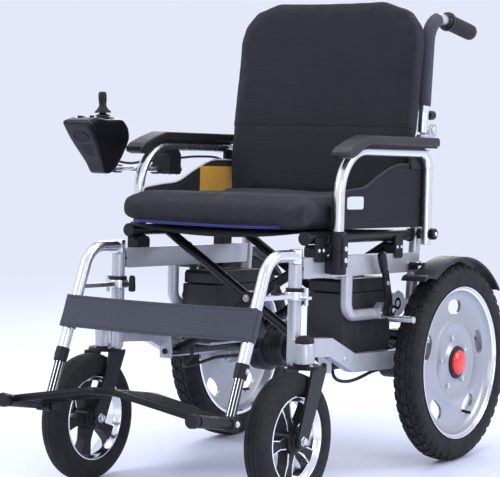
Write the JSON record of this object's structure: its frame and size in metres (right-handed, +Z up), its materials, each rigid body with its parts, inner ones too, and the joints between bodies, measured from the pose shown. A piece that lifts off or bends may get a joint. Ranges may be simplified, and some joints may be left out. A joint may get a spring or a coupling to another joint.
{
  "type": "power wheelchair",
  "caption": "Folding power wheelchair with hub-side drive motors, scissor frame, swing-away footrests, flip-up armrests, folding back and a joystick controller.",
  "frame": {"origin": "middle of the outer box, on the ground the wheels stand on", "axes": "+Z up, +Y to the rear (push handles), the occupant faces -Y, +X is the chair's own left"},
  "size_m": [0.606, 1.0648, 0.9521],
  "materials": {
    "silver_frame": "satin silver-grey paint",
    "bright_tube": "polished tube",
    "motor_case": "dark cast case",
    "wheel_silver": "cast, satin",
    "tyre": "block tread rubber",
    "red_cap": "gloss",
    "black_paint": "satin black powder coat",
    "black_plastic": "fine grain",
    "gloss_black": "gloss",
    "pad_vinyl": "soft pebble grain",
    "guard_fabric": "plain weave",
    "grip_rubber": "ribbed",
    "seat_fabric": "woven mesh",
    "strap_fabric": "tight weave",
    "lead_rubber": "matt"
  },
  "bodies": {
    "side_frame_left": {"front_frame_left": "silver_frame", "rear_frame_left": "silver_frame", "drive_motor_left": "motor_case", "battery_box_left": "black_plastic", "fender_left": "gloss_black", "armrest_socket_left": "black_plastic", "motor_cable_left": "lead_rubber", "back_pad_lower": "seat_fabric"},
    "wheel_left": {"rear_tyre_left": "tyre", "rear_rim_left": "wheel_silver", "hub_cap_left": "red_cap"},
    "caster_left": {"caster_fork_left": "black_paint"},
    "caster_wheel_left": {"caster_tyre_left": "tyre", "caster_rim_left": "black_paint"},
    "brace_left": {"cross_brace_left": "black_paint"},
    "armrest_left": {"armrest_tube_left": "bright_tube", "armrest_pad_left": "pad_vinyl", "skirt_guard_left": "guard_fabric"},
    "legrest_left": {"hanger_left": "bright_tube", "calf_strap": "strap_fabric"},
    "foot_left": {"foot_tube_left": "black_paint"},
    "plate_left": {"footplate_left": "black_plastic"},
    "back_left": {"back_cane_left": "bright_tube", "push_grip_left": "grip_rubber", "back_pad_upper": "seat_fabric"},
    "latch_left": {"back_latch_left": "black_plastic"},
    "brake_left": {"brake_lever_left": "black_paint"},
    "side_frame_right": {"front_frame_right": "silver_frame", "rear_frame_right": "silver_frame", "drive_motor_right": "motor_case", "battery_box_right": "black_plastic", "fender_right": "gloss_black", "armrest_socket_right": "black_plastic", "motor_cable_right": "lead_rubber"},
    "wheel_right": {"rear_tyre_right": "tyre", "rear_rim_right": "wheel_silver", "hub_cap_right": "red_cap"},
    "caster_right": {"caster_fork_right": "black_paint"},
    "caster_wheel_right": {"caster_tyre_right": "tyre", "caster_rim_right": "black_paint"},
    "brace_right": {"cross_brace_right": "black_paint"},
    "armrest_right": {"armrest_tube_right": "bright_tube", "armrest_pad_right": "pad_vinyl", "skirt_guard_right": "guard_fabric", "controller_cable": "lead_rubber"},
    "legrest_right": {"hanger_right": "bright_tube"},
    "foot_right": {"foot_tube_right": "black_paint"},
    "plate_right": {"footplate_right": "black_plastic"},
    "back_right": {"back_cane_right": "bright_tube", "push_grip_right": "grip_rubber"},
    "latch_right": {"back_latch_right": "black_plastic"},
    "brake_right": {"brake_lever_right": "black_paint"},
    "seat": {"seat_cushion": "seat_fabric"},
    "controller": {"controller_body": "black_plastic", "controller_rod": "bright_tube"},
    "clamp": {"clamp_knob": "black_plastic"},
    "stick_boot": {"joystick_boot": "grip_rubber"},
    "stick": {"joystick_knob": "black_plastic"},
    "button": {"power_button": "red_cap"},
    "rocker": {"speed_rocker": "black_plastic"}
  },
  "joints": [
    {"name": "fold", "type": "hinge", "parent": "side_frame_left", "child": "brace_left", "pos_m": [0.192, 0.10274, 0.22698], "axis": [0, 0.9981, -0.061], "range_deg": [0, 35], "deforming": ["seat_cushion", "back_pad_upper", "back_pad_lower", "calf_strap"]},
    {"name": "fold_centre", "type": "hinge", "parent": "brace_left", "child": "brace_right", "pos_m": [0, 0.11008, 0.34694], "axis": [0, 0.9981, -0.061], "range_deg": [-70.01, 0]},
    {"name": "fold_right", "type": "hinge", "parent": "brace_right", "child": "side_frame_right", "pos_m": [-0.192, 0.10274, 0.22698], "axis": [0, 0.9981, -0.061], "range_deg": [0, 35.01]},
    {"name": "seat_level", "type": "hinge", "parent": "brace_left", "child": "seat", "pos_m": [-0.209, 0.06117, 0.48099], "axis": [0, 0.9981, -0.061], "range_deg": [-35.01, 0]},
    {"name": "back_fold_left", "type": "hinge", "parent": "side_frame_left", "child": "back_left", "pos_m": [0.208, 0.34192, 0.68123], "axis": [-1, 0, 0], "range_deg": [0, 120]},
    {"name": "back_fold_right", "type": "hinge", "parent": "side_frame_right", "child": "back_right", "pos_m": [-0.208, 0.34192, 0.68123], "axis": [-1, 0, 0], "range_deg": [0, 120.01]},
    {"name": "latch_pull_left", "type": "slide", "parent": "back_left", "child": "latch_left", "axis": [0, 0.9981, -0.061], "range_m": [0, 0.007], "stiffness_N_per_m": 300, "springref_m": -0.004},
    {"name": "armrest_flip_left", "type": "hinge", "parent": "side_frame_left", "child": "armrest_left", "pos_m": [0.24, 0.27695, 0.4708], "axis": [-1, 0, 0], "range_deg": [0, 95]},
    {"name": "legrest_swing_left", "type": "hinge", "parent": "side_frame_left", "child": "legrest_left", "pos_m": [0.21, -0.17437, 0.43028], "axis": [0, 0.061, 0.9981], "range_deg": [0, 90]},
    {"name": "foot_length_left", "type": "slide", "parent": "legrest_left", "child": "foot_left", "axis": [0, -0.4231, -0.9061], "range_m": [-0.045, 0.02]},
    {"name": "plate_flip_left", "type": "hinge", "parent": "foot_left", "child": "plate_left", "pos_m": [0.217, -0.40009, 0.17959], "axis": [0, 0.9811, -0.1935], "range_deg": [0, 80.02]},
    {"name": "caster_swivel_left", "type": "hinge", "parent": "side_frame_left", "child": "caster_left", "pos_m": [0.238, -0.18733, 0.28], "axis": [0, 0, 1], "continuous": true},
    {"name": "caster_roll_left", "type": "hinge", "parent": "caster_left", "child": "caster_wheel_left", "pos_m": [0.238, -0.24633, 0.127], "axis": [1, 0, 0], "continuous": true},
    {"name": "wheel_roll_left", "type": "hinge", "parent": "side_frame_left", "child": "wheel_left", "pos_m": [0.276, 0.31467, 0.203], "axis": [1, 0, 0], "continuous": true},
    {"name": "brake_left", "type": "hinge", "parent": "side_frame_left", "child": "brake_left", "pos_m": [0.237, 0.12999, 0.32851], "axis": [1, 0, 0], "range_deg": [0, 28]},
    {"name": "latch_pull_right", "type": "slide", "parent": "back_right", "child": "latch_right", "axis": [0, 0.9981, -0.061], "range_m": [0, 0.007], "stiffness_N_per_m": 300, "springref_m": -0.004},
    {"name": "armrest_flip_right", "type": "hinge", "parent": "side_frame_right", "child": "armrest_right", "pos_m": [-0.24, 0.27695, 0.4708], "axis": [-1, 0, 0], "range_deg": [0, 95]},
    {"name": "legrest_swing_right", "type": "hinge", "parent": "side_frame_right", "child": "legrest_right", "pos_m": [-0.21, -0.17437, 0.43028], "axis": [0, -0.061, -0.9981], "range_deg": [0, 90]},
    {"name": "foot_length_right", "type": "slide", "parent": "legrest_right", "child": "foot_right", "axis": [0, -0.4231, -0.9061], "range_m": [-0.045, 0.02]},
    {"name": "plate_flip_right", "type": "hinge", "parent": "foot_right", "child": "plate_right", "pos_m": [-0.217, -0.40009, 0.17959], "axis": [0, -0.9811, 0.1935], "range_deg": [0, 80.02]},
    {"name": "caster_swivel_right", "type": "hinge", "parent": "side_frame_right", "child": "caster_right", "pos_m": [-0.238, -0.18733, 0.28], "axis": [0, 0, 1], "continuous": true},
    {"name": "caster_roll_right", "type": "hinge", "parent": "caster_right", "child": "caster_wheel_right", "pos_m": [-0.238, -0.24633, 0.127], "axis": [1, 0, 0], "continuous": true},
    {"name": "wheel_roll_right", "type": "hinge", "parent": "side_frame_right", "child": "wheel_right", "pos_m": [-0.276, 0.31467, 0.203], "axis": [1, 0, 0], "continuous": true},
    {"name": "brake_right", "type": "hinge", "parent": "side_frame_right", "child": "brake_right", "pos_m": [-0.237, 0.12999, 0.32851], "axis": [1, 0, 0], "range_deg": [0, 28]},
    {"name": "controller_reach", "type": "slide", "parent": "armrest_right", "child": "controller", "axis": [0, 0.9981, -0.061], "range_m": [-0.03, 0.03], "deforming": ["controller_cable"]},
    {"name": "clamp_turn", "type": "hinge", "parent": "armrest_right", "child": "clamp", "pos_m": [-0.282, 0.04865, 0.60399], "axis": [-1, 0, 0], "range_deg": [-180, 180]},
    {"name": "stick_fore_aft", "type": "hinge", "parent": "controller", "child": "stick_boot", "pos_m": [-0.265, -0.14733, 0.71], "axis": [1, 0, 0], "range_deg": [-18, 18], "stiffness_Nm_per_rad": 0.3},
    {"name": "stick_sideways", "type": "hinge", "parent": "stick_boot", "child": "stick", "pos_m": [-0.265, -0.14733, 0.71], "axis": [0, 1, 0], "range_deg": [-18, 18], "stiffness_Nm_per_rad": 0.3},
    {"name": "button_press", "type": "slide", "parent": "controller", "child": "button", "axis": [0, 0, -1], "range_m": [0, 0.002], "stiffness_N_per_m": 400, "springref_m": -0.001},
    {"name": "rocker_tilt", "type": "hinge", "parent": "controller", "child": "rocker", "pos_m": [-0.2818, -0.19533, 0.717], "axis": [1, 0, 0], "range_deg": [-6, 6], "stiffness_Nm_per_rad": 0.2}
  ],
  "couplings": [
    {"joint": "fold_centre", "follows": "fold", "ratio": -2},
    {"joint": "fold_right", "follows": "fold", "ratio": 1},
    {"joint": "seat_level", "follows": "fold", "ratio": -1},
    {"joint": "back_fold_right", "follows": "back_fold_left", "ratio": 1},
    {"joint": "plate_flip_left", "follows": "fold", "ratio": 2.2857},
    {"joint": "plate_flip_right", "follows": "fold", "ratio": 2.2857}
  ]
}
